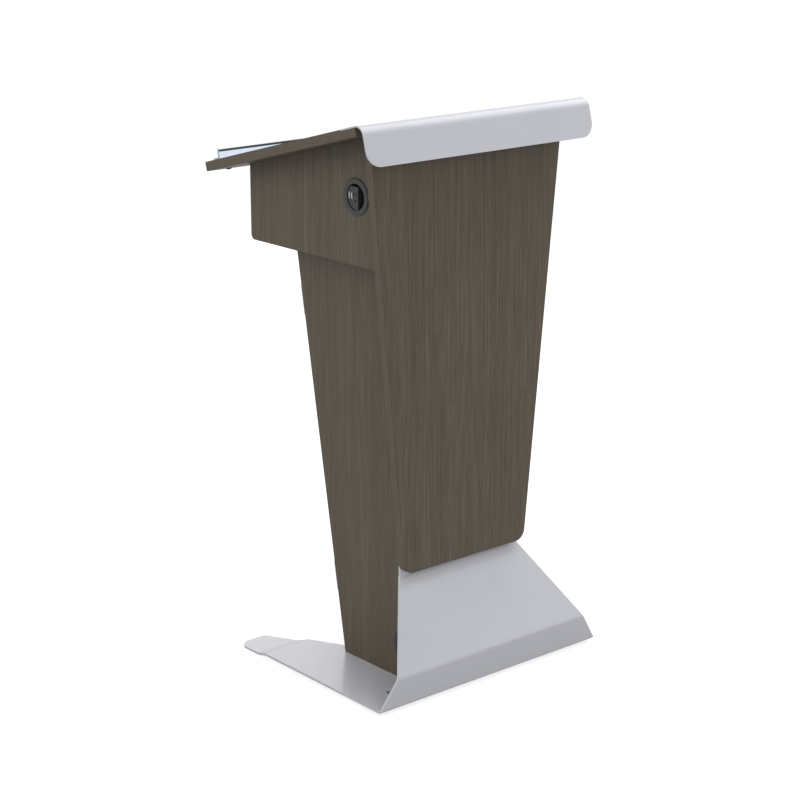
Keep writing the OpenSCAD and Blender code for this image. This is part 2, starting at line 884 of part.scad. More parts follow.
module rear_door() {
    w = 2 * (col_in - door_gap);
    color(wood) on_rear() difference() {
        translate([-w / 2, -board_t, door_low]) cube([w, board_t, door_high - door_low]);
        at_lock() translate([0, 0, -board_t - cut])
            cylinder(r = lock_barrel_r + fit, h = board_t + 2 * cut);
        at_pull_screws() bore(board_t + cut);
        at_hinge_screws(1) bore(bite);
    }
}

// One leaf reaches its knuckles only where the other leaf has none
module leaf(side, zones) {
    step = knuckle_r + knuckle_gap;
    x0 = side > 0 ? step : -step - hinge_leaf_w;
    reach = side > 0 ? 0 : -step - 1;
    difference() {
        union() {
            translate([x0, -knuckle_r, -hinge_len / 2])
                cube([hinge_leaf_w, hinge_leaf_t, hinge_len]);
            for (z = zones) {
                translate([reach, -knuckle_r, z[0]])
                    cube([step + 1, hinge_leaf_t, z[1] - z[0]]);
                translate([0, 0, z[0]]) cylinder(r = knuckle_r, h = z[1] - z[0]);
            }
        }
        translate([0, 0, -hinge_len]) cylinder(r = hinge_pin_r + run, h = 2 * hinge_len);
    }
}

knuckle = 11;         // half the height of the door leaf's knuckle

module hinge_frame_leaves() {
    color(zinc) on_rear() difference() {
        at_hinges() leaf(-1, [[-hinge_len / 2, -knuckle - knuckle_gap],
                              [knuckle + knuckle_gap, hinge_len / 2]]);
        at_hinge_screws(-1) bore(hinge_leaf_t + cut);
    }
}

module hinge_door_leaves() {
    color(zinc) on_rear() difference() {
        at_hinges() leaf(1, [[-knuckle, knuckle]]);
        at_hinge_screws(1) bore(hinge_leaf_t + cut);
    }
}

module hinge_pins() {
    color(zinc) on_rear() at_hinges() {
        translate([0, 0, -hinge_len / 2]) cylinder(r = hinge_pin_r, h = hinge_len);
        translate([0, 0, hinge_len / 2]) cylinder(r = knuckle_r - 0.8, h = 1.4);
    }
}

module hinge_frame_screws() {
    color(zinc) on_rear() at_hinge_screws(-1) screw(bite, 1.6, 3.2, 1.2);
}

module hinge_door_screws() {
    color(zinc) on_rear() at_hinge_screws(1) screw(bite, 1.6, 3.2, 1.2);
}

module door_pull() {
    out = 26;
    grip_r = 5;
    color(zinc) on_rear() difference() {
        translate([lock_x, 0, pull_s]) {
            translate([0, out, -pull_len / 2 - 12]) cylinder(r = grip_r, h = pull_len + 24);
            for (z = [-pull_len / 2, pull_len / 2])
                translate([0, 0, z]) rotate([-90, 0, 0]) cylinder(r = 4, h = out);
        }
        at_pull_screws() bore(board_t + 9);
    }
}

module pull_screws() {
    color(zinc) on_rear() at_pull_screws() screw(board_t + 8);
}

// ---------- cam lock ----------

module lock_housing() {
    color(zinc) on_rear() at_lock() difference() {
        union() {
            translate([0, 0, cam_y + 2]) cylinder(r = lock_barrel_r, h = -cam_y - 2);
            cylinder(r1 = lock_barrel_r + 2.5, r2 = lock_barrel_r + 1.5, h = 2);
        }
        translate([0, 0, cam_y]) cylinder(r = lock_plug_r + run, h = -cam_y + 3);
    }
}

module lock_nut() {
    color(zinc) on_rear() at_lock() translate([0, 0, -board_t - 4]) difference() {
        cylinder(r = lock_barrel_r + 3.5, h = 4, $fn = 6);
        translate([0, 0, -cut]) cylinder(r = lock_barrel_r + fit, h = 4 + 2 * cut);
    }
}

module lock_plug() {
    color(zinc) on_rear() at_lock() difference() {
        translate([0, 0, cam_y]) cylinder(r = lock_plug_r, h = -cam_y + 1.5);
        translate([-0.8, -3.5, -10]) cube([1.6, 7, 12]);
        translate([0, 0, cam_y - cut]) cylinder(r = bolt_r + fit, h = 9 + cut);
    }
}

// The cam hangs down when unlocked and turns towards the strike
module lock_cam() {
    color(zinc) on_rear() at_lock() translate([0, 0, cam_y - cam_t]) linear_extrude(cam_t)
        difference() {
            union() {
                circle(cam_w / 2);
                translate([-cam_w / 2, 0]) square([cam_w, cam_reach - cam_w / 2]);
                translate([0, cam_reach - cam_w / 2]) circle(cam_w / 2);
            }
            circle(bolt_r + fit);
        }
}

module cam_screw() {
    color(zinc) on_rear() at_lock() translate([0, 0, cam_y - cam_t]) mirror([0, 0, 1])
        screw(cam_t + 8, bolt_r, 4.5, 2.5);
}

module lock_strike() {
    tongue = 15;
    thick = 2.2;
    face = cam_y + 0.8;
    color(zinc) on_rear() difference() {
        union() {
            translate([col_in - thick, -62, lock_s - 14]) cube([thick, 62 + face + thick, 28]);
            translate([col_in - tongue, face, lock_s - 14]) cube([tongue, thick, 28]);
        }
        at_strike_screws() bore(thick + cut);
    }
}

module strike_screws() {
    color(zinc) on_rear() at_strike_screws() screw(bite);
}

module catch_magnet() {
    color(black) on_rear() translate([col_in - 13, -board_t - 1.5 - 16, catch_s - 20])
        cube([13, 16, 40]);
}

module catch_plate() {
    color(zinc) on_rear() translate([col_in - 15, -board_t - 1.2, catch_s - 17])
        cube([12, 1.2, 34]);
}

steel_base();
front_feet();
foot_screws();
column_left_side();
column_right_side();
column_floor();
base_screws();
front_panel();
flange_screws();
angle_brackets();
bracket_screws();
box_left_side();
box_right_side();
box_floor();
dowels();
desk_top();
desk_cleats();
cleat_screws();
metal_cap();
cap_nuts();
paper_stop();
stop_screws();
power_bezel();
power_faceplate();
usb_ports();
outlet_contacts();
power_housing();
power_inlet();
power_lock_ring();
cable_grommet();
grommet_cap();
loose_shelf();
shelf_pins();
kick_rail();
rear_door();
hinge_frame_leaves();
hinge_door_leaves();
hinge_pins();
hinge_frame_screws();
hinge_door_screws();
door_pull();
pull_screws();
lock_housing();
lock_nut();
lock_plug();
lock_cam();
cam_screw();
lock_strike();
strike_screws();
catch_magnet();
catch_plate();
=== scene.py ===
"""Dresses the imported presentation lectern: laminate boards, powder-coated steel, black ports.

Everything is in metres in the lectern's own frame: the audience at -Y, the speaker at +Y, the
floor at Z = 0. Solids that already have their true shape keep it and get a finish. Small turned
hardware is made again here with its driver recesses, and stands for the plain solids.
"""

import logging
import math
from dataclasses import dataclass, field
from enum import Enum
from typing import Callable, Protocol

import bmesh
import bpy
import numpy as np
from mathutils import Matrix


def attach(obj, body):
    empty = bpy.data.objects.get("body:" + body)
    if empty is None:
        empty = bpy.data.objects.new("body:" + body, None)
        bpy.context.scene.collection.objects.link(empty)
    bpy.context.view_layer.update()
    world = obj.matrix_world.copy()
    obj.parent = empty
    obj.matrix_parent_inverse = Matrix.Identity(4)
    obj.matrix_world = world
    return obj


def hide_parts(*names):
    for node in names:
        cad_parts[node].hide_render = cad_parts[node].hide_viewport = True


logging.basicConfig(level=logging.INFO, format="%(name)s: %(message)s")
LOG = logging.getLogger("lectern")

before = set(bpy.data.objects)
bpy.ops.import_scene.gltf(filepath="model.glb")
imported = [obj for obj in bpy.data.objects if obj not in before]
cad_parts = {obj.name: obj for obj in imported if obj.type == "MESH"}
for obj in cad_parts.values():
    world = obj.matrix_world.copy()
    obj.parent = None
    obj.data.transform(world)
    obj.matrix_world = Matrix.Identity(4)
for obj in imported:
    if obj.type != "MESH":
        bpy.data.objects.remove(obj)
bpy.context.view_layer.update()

Triple = tuple[float, float, float]
Socket = bpy.types.NodeSocket


class Axis(Enum):
    """A direction of the lectern's frame."""

    X = 0
    Y = 1
    Z = 2


class Drive(Enum):
    """The recess in a screw's head."""

    HEX = "hex"
    CROSS = "cross"


# ---------------------------------------------------------------- node graphs


class Graph:
    """A thin wrapper round a material's node tree, to write shader graphs in few lines."""

    def __init__(self, name: str) -> None:
        """Start a material with one Principled shader.

        Args:
            name: the material's name.
        """
        self.material = bpy.data.materials.new(name)
        self.material.use_nodes = True
        self.tree = self.material.node_tree
        self.tree.nodes.clear()
        self.output = self.add("ShaderNodeOutputMaterial")
        self.shader = self.add("ShaderNodeBsdfPrincipled")
        self.link(self.shader.outputs["BSDF"], self.output.inputs["Surface"])
        self.coords = self.add("ShaderNodeTexCoord")

    def add(self, kind: str, **settings: object) -> bpy.types.Node:
        """Add a node.

        Args:
            kind: the node's type name.
            settings: attributes to set on it.

        Returns:
            The new node.
        """
        node = self.tree.nodes.new(kind)
        for key, value in settings.items():
            setattr(node, key, value)
        return node

    def link(self, out: Socket, into: Socket) -> None:
        """Join an output socket to an input socket."""
        self.tree.links.new(out, into)

    def feed(self, socket: Socket, value: object) -> None:
        """Put a value on an input socket.

        Args:
            socket: the input socket.
            value: a number, a tuple or another socket, or None to leave the socket as it is.
        """
        if isinstance(value, Socket):
            self.link(value, socket)
        elif value is not None:
            socket.default_value = value

    def set(self, **values: object) -> None:
        """Set the shader's inputs; underscores in the names stand for spaces."""
        for key, value in values.items():
            self.feed(self.shader.inputs[key.replace("_", " ")], value)

    def math(self, operation: str, a: object, b: object = 0.0, clamp: bool = False) -> Socket:
        """Combine two values.

        Args:
            operation: a Math node's operation.
            a: the first value or socket.
            b: the second value or socket.
            clamp: whether the result stays between 0 and 1.

        Returns:
            The result's socket.
        """
        node = self.add("ShaderNodeMath", operation=operation, use_clamp=clamp)
        self.feed(node.inputs[0], a)
        self.feed(node.inputs[1], b)
        return node.outputs[0]

    def upright(self, lean: float) -> Socket:
        """Object coordinates, turned about X so that a leaning board stands straight in them.

        With a as the lean, y' = y cos a - z sin a and z' = y sin a + z cos a.

        Args:
            lean: the board's lean, in degrees.

        Returns:
            The coordinates' socket.
        """
        turn = self.add("ShaderNodeVectorRotate", rotation_type="X_AXIS")
        turn.inputs["Angle"].default_value = math.radians(lean)
        self.link(self.coords.outputs["Object"], turn.inputs["Vector"])
        return turn.outputs[0]

    def stretched(self, scale: Triple, shift: Triple = (0.0, 0.0, 0.0),
                  warp: Socket | None = None, source: Socket | None = None) -> Socket:
        """Coordinates, shifted, warped and stretched.

        Args:
            scale: how many pattern units go to a metre along X, Y and Z.
            shift: where the pattern's origin goes, in pattern units.
            warp: a vector socket in metres that is added first, or None.
            source: the coordinates' socket, or None for plain Object coordinates.

        Returns:
            The coordinates' socket.
        """
        source = source or self.coords.outputs["Object"]
        if warp is not None:
            added = self.add("ShaderNodeVectorMath", operation="ADD")
            self.link(source, added.inputs[0])
            self.link(warp, added.inputs[1])
            source = added.outputs[0]
        mapping = self.add("ShaderNodeMapping")
        mapping.inputs["Scale"].default_value = scale
        mapping.inputs["Location"].default_value = shift
        self.link(source, mapping.inputs["Vector"])
        return mapping.outputs[0]

    def even(self, per_metre: float) -> Socket:
        """Object coordinates with as many pattern units to a metre each way."""
        return self.stretched((per_metre,) * 3)

    def noise(self, vector: Socket, scale: float = 1.0, detail: float = 2.0,
              roughness: float = 0.5, colour: bool = False) -> Socket:
        """Fractal noise at the given coordinates.

        Args:
            vector: the coordinates' socket.
            scale: pattern units to noise cells.
            detail: octaves beyond the first.
            roughness: how strong each octave is beside the one before.
            colour: whether to return three values and not one.

        Returns:
            The noise's socket.
        """
        node = self.add("ShaderNodeTexNoise")
        node.inputs["Scale"].default_value = scale
        node.inputs["Detail"].default_value = detail
        node.inputs["Roughness"].default_value = roughness
        self.feed(node.inputs["Vector"], vector)
        return node.outputs["Color" if colour else "Fac"]

    def ramp(self, fac: Socket, stops: list) -> Socket:
        """Colours or greys along a value.

        Args:
            fac: the value's socket.
            stops: pairs of position and linear colour, or of position and grey.

        Returns:
            The colour's socket.
        """
        node = self.add("ShaderNodeValToRGB")
        elements = node.color_ramp.elements
        while len(elements) < len(stops):
            elements.new(0.5)
        for element, (place, colour) in zip(elements, stops):
            element.position = place
            grey = isinstance(colour, (int, float))
            element.color = (colour, colour, colour, 1.0) if grey else (*colour, 1.0)
        self.link(fac, node.inputs["Fac"])
        return node.outputs["Color"]

    def weigh(self, *parts: tuple) -> Socket:
        """Add up values, each times its weight.

        Args:
            parts: pairs of a value's socket and its weight.

        Returns:
            The sum's socket.
        """
        total = self.math("MULTIPLY", *parts[0])
        for part in parts[1:]:
            total = self.math("ADD", total, self.math("MULTIPLY", *part))
        return total

    def mix(self, fac: object, a: object, b: object, blend: str = "MIX") -> Socket:
        """Mix two colours.

        Args:
            fac: how much of the second, as a value or a socket.
            a: the first colour.
            b: the second colour.
            blend: the Mix node's blend type.

        Returns:
            The mixed colour's socket.
        """
        node = self.add("ShaderNodeMix", data_type="RGBA", blend_type=blend)
        self.feed(node.inputs["Factor"], fac)
        for socket, value in ((node.inputs["A"], a), (node.inputs["B"], b)):
            self.feed(socket, (*value, 1.0) if isinstance(value, tuple) else value)
        return node.outputs["Result"]

    def edge(self, radius: float) -> Socket:
        """How close a point is to a sharp edge: 0 on a flat face, towards 1 on an edge.

        Args:
            radius: how far the edge's influence reaches, in metres.

        Returns:
            The value's socket.
        """
        bevel = self.add("ShaderNodeBevel", samples=6)
        bevel.inputs["Radius"].default_value = radius
        geometry = self.add("ShaderNodeNewGeometry")
        dot = self.add("ShaderNodeVectorMath", operation="DOT_PRODUCT")
        self.link(bevel.outputs[0], dot.inputs[0])
        self.link(geometry.outputs["True Normal"], dot.inputs[1])
        away = self.math("SUBTRACT", 1.0, dot.outputs["Value"], clamp=True)
        return self.math("MULTIPLY", away, 4.0, clamp=True)

    def relief(self, height: Socket, depth: float, round_edge: float = 0.0,
               strength: float = 1.0) -> None:
        """Bump the surface and soften its sharp edges.

        Args:
            height: the height's socket, 0 to 1.
            depth: how deep a height of 1 is, in metres.
            round_edge: the radius that sharp edges seem to have, in metres.
            strength: the bump's strength.
        """
        bump = self.add("ShaderNodeBump")
        bump.inputs["Distance"].default_value = depth
        bump.inputs["Strength"].default_value = strength
        self.link(height, bump.inputs["Height"])
        if round_edge:
            bevel = self.add("ShaderNodeBevel", samples=6)
            bevel.inputs["Radius"].default_value = round_edge
            self.link(bevel.outputs[0], bump.inputs["Normal"])
        self.link(bump.outputs[0], self.shader.inputs["Normal"])


def linear(*screen: float) -> Triple:
    """Turn a screen colour into linear light.

    Args:
        screen: its red, green and blue, from 0 to 255.

    Returns:
        The same colour in linear light, from 0 to 1.
    """
    parts = [value / 255.0 for value in screen]
    return tuple(part / 12.92 if part <= 0.04045 else ((part + 0.055) / 1.055) ** 2.4
                 for part in parts)


# ---------------------------------------------------------------- finishes


class Finish(Protocol):
    """Anything that makes a material by name."""

    def build(self, name: str) -> bpy.types.Material:
        """Make the material."""


@dataclass(frozen=True)
class Laminate:
    """Grey-brown walnut laminate with straight grain.

    The boards' edges have a lighter band, and a thin dark line of painted shade runs along their
    corners.
    """

    grain: Axis
    thin: Axis
    seed: float
    lean: float = 0.0
    dark: Triple = linear(72, 64, 53)
    middle: Triple = linear(90, 80, 65)
    light: Triple = linear(111, 100, 79)
    band: Triple = linear(96, 86, 70)
    painted_edge_shade: Triple = linear(44, 39, 35)
    pore: Triple = linear(50, 45, 39)
    painted_shade_width: float = 0.0022
    round_edge: float = 0.0009
    depth: float = 0.00012

    def along(self, across: float, lengthwise: float) -> Triple:
        """Pattern units to the metre across and along the grain, as X, Y and Z."""
        return tuple(lengthwise if axis is self.grain else across for axis in Axis)

    def sway(self, g: Graph, board: Socket, shift: Triple) -> Socket:
        """How far the grain strays sideways, up to a centimetre.

        Args:
            g: the material's graph.
            board: the board's own coordinates.
            shift: where the board lies in the pattern.

        Returns:
            A vector socket, in metres.
        """
        sway = g.noise(g.stretched(self.along(5.0, 1.1), shift, None, board), detail=1.0,
                       colour=True)
        centred = g.add("ShaderNodeVectorMath", operation="SUBTRACT")
        g.link(sway, centred.inputs[0])
        centred.inputs[1].default_value = (0.5, 0.5, 0.5)
        small = g.add("ShaderNodeVectorMath", operation="SCALE")
        g.link(centred.outputs[0], small.inputs[0])
        small.inputs["Scale"].default_value = 0.02
        return small.outputs[0]

    def build(self, name: str) -> bpy.types.Material:
        """Make the material.

        Streaks are noise stretched along the grain: broad figure, narrow lines and short pores.

        Args:
            name: the material's name.

        Returns:
            The material.
        """
        g = Graph(name)
        shift = (self.seed * 3.7, self.seed * 7.3, self.seed * 1.9)
        board = g.upright(self.lean)
        warp = self.sway(g, board, shift)

        def streaks(across: float, lengthwise: float) -> Socket:
            """The board's coordinates, stretched along its grain."""
            return g.stretched(self.along(across, lengthwise), shift, warp, board)

        figure = g.noise(streaks(46.0, 0.6), 1.0, 3.0, 0.6)
        lines = g.noise(streaks(400.0, 5.0), 1.0, 3.0, 0.75)
        pores = g.noise(streaks(1100.0, 22.0), 1.0, 1.0)
        cloud = g.noise(g.stretched((2.5, 2.5, 2.5), shift, None, board), 1.0, 2.0)
        tone = g.weigh((figure, 0.22), (lines, 0.78))
        colour = g.ramp(tone, [(0.34, self.dark), (0.5, self.middle), (0.66, self.light)])
        pore_mask = g.ramp(pores, [(0.56, 0.0), (0.68, 1.0)])
        colour = g.mix(g.math("MULTIPLY", pore_mask, 0.35), colour, self.pore)
        colour = g.mix(0.12, colour, g.ramp(cloud, [(0.3, 0.25), (0.7, 0.75)]), "OVERLAY")

        split = g.add("ShaderNodeSeparateXYZ")
        g.link(g.coords.outputs["Normal"], split.inputs[0])
        facing = g.math("ABSOLUTE", split.outputs[self.thin.value])
        on_edge = g.math("LESS_THAN", facing, 0.5)
        banded = g.mix(g.math("MULTIPLY", on_edge, 0.4), colour, self.band)
        # Painted shade: a thin dark line is laid along every sharp edge and corner of the boards.
        painted_shade_mask = g.math("MULTIPLY", g.edge(self.painted_shade_width), 0.85)
        g.set(Base_Color=g.mix(painted_shade_mask, banded, self.painted_edge_shade))
        rough = g.weigh((lines, 0.16), (cloud, 0.1))
        g.set(Roughness=g.math("ADD", rough, 0.36), Specular_IOR_Level=0.38)
        height = g.math("SUBTRACT", lines, g.math("MULTIPLY", pore_mask, 0.6))
        g.relief(height, self.depth, self.round_edge, 0.55)
        return g.material


@dataclass(frozen=True)
class PowderCoat:
    """Pale silver-grey powder coat: a fine orange peel, with a painted highlight along its edges.
    """

    colour: Triple = linear(203, 204, 210)
    fleck: Triple = linear(226, 227, 232)
    scuff: Triple = linear(168, 169, 175)
    painted_edge_highlight: Triple = linear(238, 238, 242)
    edge_width: float = 0.0016
    round_edge: float = 0.0008
    depth: float = 0.00008

    def build(self, name: str) -> bpy.types.Material:
        """Make the material.

        Args:
            name: the material's name.

        Returns:
            The material.
        """
        g = Graph(name)
        peel = g.noise(g.even(520.0), detail=2.0, roughness=0.45)
        grit = g.noise(g.even(2600.0), detail=1.0)
        cloud = g.noise(g.even(6.0), detail=3.0, roughness=0.55)
        colour = g.mix(g.ramp(grit, [(0.6, 0.0), (0.75, 0.5)]), self.colour, self.fleck)
        colour = g.mix(g.math("MULTIPLY", g.ramp(cloud, [(0.55, 0.0), (0.8, 1.0)]), 0.12),
                       colour, self.scuff)
        # Painted highlight: the colour is lightened near every edge, standing in for the light
        # that edges catch.
        thin = g.math("MULTIPLY", g.edge(self.edge_width), 0.5)
        colour = g.mix(thin, colour, self.painted_edge_highlight)
        g.set(Base_Color=colour, Metallic=0.0, Specular_IOR_Level=0.5, Coat_Weight=0.3,
              Coat_Roughness=0.18)
        g.set(Roughness=g.math("ADD", g.math("MULTIPLY", cloud, 0.12), 0.3))
        g.relief(peel, self.depth, self.round_edge, 0.5)
        return g.material


@dataclass(frozen=True)
class MouldedPlastic:
    """Black moulded plastic with a spark-eroded texture, shinier where it is handled."""

    colour: Triple = linear(50, 51, 53)
    rubbed: Triple = linear(77, 78, 81)
    grain: float = 1500.0
    edge_width: float = 0.0007
    round_edge: float = 0.0004
    depth: float = 0.00006

    def build(self, name: str) -> bpy.types.Material:
        """Make the material.

        Args:
            name: the material's name.

        Returns:
            The material.
        """
        g = Graph(name)
        texture = g.noise(g.even(self.grain), detail=2.0, roughness=0.6)
        cloud = g.noise(g.even(60.0), detail=3.0)
        colour = g.mix(g.math("MULTIPLY", cloud, 0.3), self.colour, self.rubbed)
        colour = g.mix(g.math("MULTIPLY", g.edge(self.edge_width), 0.6), colour, self.rubbed)
        g.set(Base_Color=colour, Specular_IOR_Level=0.45)
        g.set(Roughness=g.math("ADD", g.math("MULTIPLY", cloud, 0.25), 0.35))
        g.relief(texture, self.depth, self.round_edge, 0.6)
        return g.material


@dataclass(frozen=True)
class PlatedMetal:
    """Zinc plate, brass or black oxide, with faint drawing lines and small dull blotches."""

    colour: Triple
    dull: Triple
    rough: float = 0.3
    lines: Axis = Axis.Z
    round_edge: float = 0.0003
    depth: float = 0.00003

    def build(self, name: str) -> bpy.types.Material:
        """Make the material.

        Args:
            name: the material's name.

        Returns:
            The material.
        """
        g = Graph(name)
        scale = tuple(90.0 if axis is self.lines else 2400.0 for axis in Axis)
        drawn = g.noise(g.stretched(scale), detail=2.0, roughness=0.7)
        blotch = g.noise(g.even(110.0), detail=2.0, roughness=0.5)
        stained = g.ramp(blotch, [(0.45, 0.0), (0.75, 1.0)])
        colour = g.mix(g.math("MULTIPLY", stained, 0.35), self.colour, self.dull)
        g.set(Base_Color=colour, Metallic=1.0)
        rough = g.weigh((drawn, 0.14), (stained, 0.08))
        g.set(Roughness=g.math("ADD", rough, self.rough - 0.1))
        g.relief(drawn, self.depth, self.round_edge, 0.4)
        return g.material


@dataclass(frozen=True)
class ClearAcrylic:
    """Clear acrylic sheet with a faint cool tint, frosted ends and a few hairline scratches.

    A band just below its upper rim is painted dark: painted shade for the dark look a clear
    sheet's top edge has where it pipes the light away.
    """

    rise: Triple = (0.0, 0.258819, 0.965926)
    rim: tuple[float, float] = (1.1140, 1.1186)
    tint: Triple = linear(216, 225, 241)
    clear: Triple = linear(243, 246, 251)
    painted_dark_band: Triple = linear(34, 43, 47)
    frosted: Triple = linear(226, 238, 244)
    body: Triple = (0.66, 0.80, 0.90)
    refraction: float = 1.49
    depth: float = 0.00002

    def build(self, name: str) -> bpy.types.Material:
        """Make the material.

        Args:
            name: the material's name.

        Returns:
            The material.
        """
        g = Graph(name)
        hair = g.noise(g.stretched((30.0, 900.0, 700.0)), detail=2.0, roughness=0.8)
        scratch = g.ramp(hair, [(0.62, 0.0), (0.7, 1.0)])
        split = g.add("ShaderNodeSeparateXYZ")
        g.link(g.coords.outputs["Normal"], split.inputs[0])
        sawn = g.math("GREATER_THAN", g.math("ABSOLUTE", split.outputs[0]), 0.9)
        place = g.add("ShaderNodeVectorMath", operation="DOT_PRODUCT")
        g.link(g.coords.outputs["Object"], place.inputs[0])
        place.inputs[1].default_value = self.rise
        height = place.outputs["Value"]
        # Painted shade: the band between the two heights gets a dark colour for the clear edge's
        # dark look.
        rim = g.math("MULTIPLY", g.math("GREATER_THAN", height, self.rim[0]),
                     g.math("LESS_THAN", height, self.rim[1]))
        above = g.math("GREATER_THAN", height, self.rim[1])
        colour = g.mix(rim, g.mix(above, self.tint, self.clear), self.painted_dark_band)
        g.set(Base_Color=g.mix(sawn, colour, self.frosted), IOR=self.refraction)
        g.set(Transmission_Weight=g.math("SUBTRACT", 1.0, g.math("MULTIPLY", sawn, 0.85)))
        g.set(Roughness=g.math("ADD", g.math("MULTIPLY", scratch, 0.1), 0.02))
        g.relief(scratch, self.depth, 0.0, 0.3)
        absorb = g.add("ShaderNodeVolumeAbsorption")
        absorb.inputs["Color"].default_value = (*self.body, 1.0)
        absorb.inputs["Density"].default_value = 2.0
        g.link(absorb.outputs[0], g.output.inputs["Volume"])
        return g.material


@dataclass(frozen=True)
class Rubber:
    """Matt black rubber with dust in its fine grain."""

    colour: Triple = linear(38, 38, 39)
    dust: Triple = linear(96, 94, 92)
    round_edge: float = 0.0005
    depth: float = 0.00012

    def build(self, name: str) -> bpy.types.Material:
        """Make the material.

        Args:
            name: the material's name.

        Returns:
            The material.
        """
        g = Graph(name)
        grain = g.noise(g.even(1200.0), detail=3.0, roughness=0.7)
        cloud = g.noise(g.even(90.0), detail=2.0)
        dusty = g.math("MULTIPLY", g.ramp(cloud, [(0.5, 0.0), (0.8, 1.0)]), 0.3)
        g.set(Base_Color=g.mix(dusty, self.colour, self.dust), Specular_IOR_Level=0.25)
        g.set(Roughness=g.math("ADD", g.math("MULTIPLY", grain, 0.1), 0.75))
        g.relief(grain, self.depth, self.round_edge, 0.6)
        return g.material


@dataclass(frozen=True)
class BareWood:
    """Bare pale wood of a dowel, with its grain along X."""

    colour: Triple = linear(216, 190, 148)
    late: Triple = linear(180, 148, 104)
    depth: float = 0.0001

    def build(self, name: str) -> bpy.types.Material:
        """Make the material.

        Args:
            name: the material's name.

        Returns:
            The material.
        """
        g = Graph(name)
        grain = g.noise(g.stretched((30.0, 700.0, 700.0)), detail=3.0, roughness=0.6)
        g.set(Base_Color=g.mix(g.ramp(grain, [(0.4, 0.0), (0.7, 1.0)]), self.colour, self.late))
        g.set(Roughness=g.math("ADD", g.math("MULTIPLY", grain, 0.2), 0.55))
        g.relief(grain, self.depth, 0.0, 0.6)
        return g.material


ZINC = PlatedMetal(linear(176, 177, 181), linear(146, 147, 150))
BRIGHT = PlatedMetal(linear(236, 236, 238), linear(205, 205, 208), 0.38)
PULL = PlatedMetal(linear(190, 190, 192), linear(165, 165, 168), 0.32)
BRASS = PlatedMetal(linear(200, 164, 96), linear(150, 116, 62))
BLACK_SCREW = PlatedMetal(linear(40, 40, 42), linear(66, 64, 62), 0.45)


def dress(node: str, finish: Finish) -> None:
    """Give a solid its finish by putting the material in every slot that it has.

    Args:
        node: the solid's name.
        finish: its finish.
    """
    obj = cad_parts[node]
    material = finish.build(node + "_finish")
    if not obj.material_slots:
        obj.data.materials.append(material)
    for slot in obj.material_slots:
        slot.material = material
    LOG.info("%s dressed as %s", node, type(finish).__name__)


# ---------------------------------------------------------------- turned pieces


def turned(profile: np.ndarray, segments: int, outline: Callable[[np.ndarray], np.ndarray],
           recess_rows: np.ndarray) -> tuple[np.ndarray, np.ndarray]:
    """A profile turned about its axis, worked out on a grid.

    A point of row i and angle a lies at (r_i cos a, r_i sin a, z_i). On the recess's rows the
    radius is r_i times the recess's outline at a.

    Args:
        profile: rows of radius and height, from the axis at the top to the axis at the bottom.
        segments: how many steps go round.
        outline: the recess's outline, as a share of its radius by angle.
        recess_rows: the rows of the profile that follow the outline.

    Returns:
        Vertices and faces.
    """
    angle = np.arange(segments) / segments * 2.0 * np.pi
    radius = np.repeat(profile[:, :1], segments, axis=1)
    radius[recess_rows] *= outline(angle)[None, :]
    x = radius * np.cos(angle)
    y = radius * np.sin(angle)
    z = np.repeat(profile[:, 1:], segments, axis=1)
    verts = np.stack([x, y, z], axis=-1).reshape(-1, 3)
    rows = len(profile)
    i, j = np.meshgrid(np.arange(rows - 1), np.arange(segments), indexing="ij")
    k = (j + 1) % segments
    quads = np.stack([i * segments + j, (i + 1) * segments + j,
                      (i + 1) * segments + k, i * segments + k], axis=-1).reshape(-1, 4)
    return verts, quads


def hexagon(angle: np.ndarray) -> np.ndarray:
    """The outline of a regular hexagon whose flats are 1 from its middle, by angle."""
    step = np.pi / 3.0
    return 1.0 / np.cos((angle + step / 2.0) % step - step / 2.0)


def cross(angle: np.ndarray) -> np.ndarray:
    """The outline of a four-winged recess: 1 at the wings' tips, 0.42 between them."""
    waist = 0.42
    return waist + (1.0 - waist) * np.abs(np.cos(2.0 * angle)) ** 6.0


